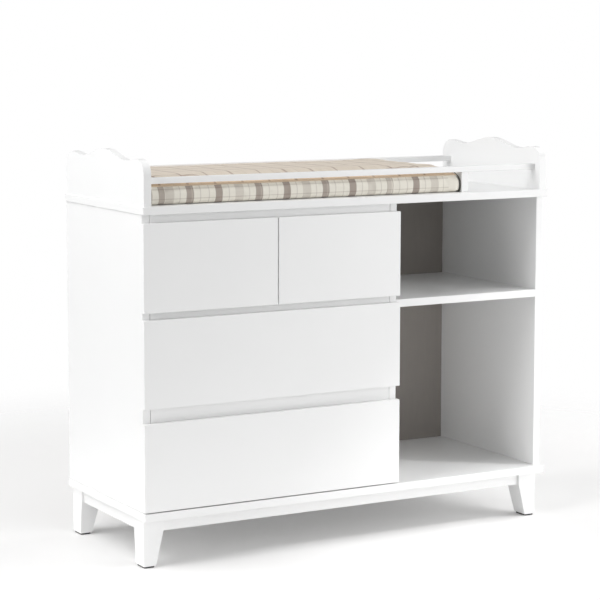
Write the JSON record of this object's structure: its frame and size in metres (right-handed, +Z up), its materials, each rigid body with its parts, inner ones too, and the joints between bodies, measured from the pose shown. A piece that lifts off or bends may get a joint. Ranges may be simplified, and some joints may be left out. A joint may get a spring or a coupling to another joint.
{
  "type": "changing table",
  "caption": "Changing table: a white cabinet with drawers and open compartments on tapered legs, and a gallery with wavy ends that holds a padded mat beside a tray.",
  "frame": {"origin": "on the floor under the centre of the top and bottom boards", "axes": "+X to the right seen from the front, towards the open compartments; +Y to the back; +Z up. The drawer fronts face -Y."},
  "size_m": [1.2, 0.48, 1.03],
  "materials": {
    "white_lacquer": "satin white lacquer on smooth board",
    "white_melamine": "matt white melamine",
    "glide_plastic": "dark plastic glide",
    "runner_steel": "zinc-plated sheet steel",
    "mat_fabric": "woven cotton cover, cream plaid"
  },
  "bodies": {
    "cabinet": {"bottom_board": "white_lacquer", "top_board": "white_lacquer", "side_panel_left": "white_lacquer", "side_panel_right": "white_lacquer", "partition_panel": "white_lacquer", "back_panel": "white_melamine", "shelf_board": "white_lacquer", "grip_rail_lower": "white_lacquer", "grip_rail_middle": "white_lacquer", "grip_rail_top": "white_lacquer", "drawer_divider": "white_melamine", "leg_front_left": "white_lacquer", "leg_front_right": "white_lacquer", "leg_back_left": "white_lacquer", "leg_back_right": "white_lacquer", "glide_front_left": "glide_plastic", "glide_front_right": "glide_plastic", "glide_back_left": "glide_plastic", "glide_back_right": "glide_plastic", "apron_front": "white_lacquer", "apron_back": "white_lacquer", "apron_left": "white_lacquer", "apron_right": "white_lacquer", "gallery_end_left": "white_lacquer", "gallery_end_right": "white_lacquer", "gallery_front_rail": "white_lacquer", "gallery_back_rail": "white_lacquer", "gallery_divider": "white_lacquer", "runner_lower_left": "runner_steel", "runner_lower_right": "runner_steel", "runner_middle_left": "runner_steel", "runner_middle_right": "runner_steel", "runner_upper_left_left": "runner_steel", "runner_upper_left_right": "runner_steel", "runner_upper_right_left": "runner_steel", "runner_upper_right_right": "runner_steel"},
    "drawer_lower": {"drawer_lower_front": "white_lacquer", "drawer_lower_side_left": "white_melamine", "drawer_lower_side_right": "white_melamine", "drawer_lower_bottom": "white_melamine", "drawer_lower_back": "white_melamine"},
    "drawer_middle": {"drawer_middle_front": "white_lacquer", "drawer_middle_side_left": "white_melamine", "drawer_middle_side_right": "white_melamine", "drawer_middle_bottom": "white_melamine", "drawer_middle_back": "white_melamine"},
    "drawer_upper_left": {"drawer_upper_left_front": "white_lacquer", "drawer_upper_left_side_left": "white_melamine", "drawer_upper_left_side_right": "white_melamine", "drawer_upper_left_bottom": "white_melamine", "drawer_upper_left_back": "white_melamine"},
    "drawer_upper_right": {"drawer_upper_right_front": "white_lacquer", "drawer_upper_right_side_left": "white_melamine", "drawer_upper_right_side_right": "white_melamine", "drawer_upper_right_bottom": "white_melamine", "drawer_upper_right_back": "white_melamine"},
    "changing_mat": {"changing_mat": "mat_fabric"}
  },
  "joints": [
    {"name": "drawer_lower_slide", "type": "slide", "parent": "cabinet", "child": "drawer_lower", "axis": [0, -1, 0], "range_m": [0, 0.3]},
    {"name": "drawer_middle_slide", "type": "slide", "parent": "cabinet", "child": "drawer_middle", "axis": [0, -1, 0], "range_m": [0, 0.3]},
    {"name": "drawer_upper_left_slide", "type": "slide", "parent": "cabinet", "child": "drawer_upper_left", "axis": [0, -1, 0], "range_m": [0, 0.3]},
    {"name": "drawer_upper_right_slide", "type": "slide", "parent": "cabinet", "child": "drawer_upper_right", "axis": [0, -1, 0], "range_m": [0, 0.3]},
    {"name": "mat_lift", "type": "slide", "parent": "cabinet", "child": "changing_mat", "axis": [0, 0, 1], "range_m": [0, 0.15]}
  ]
}
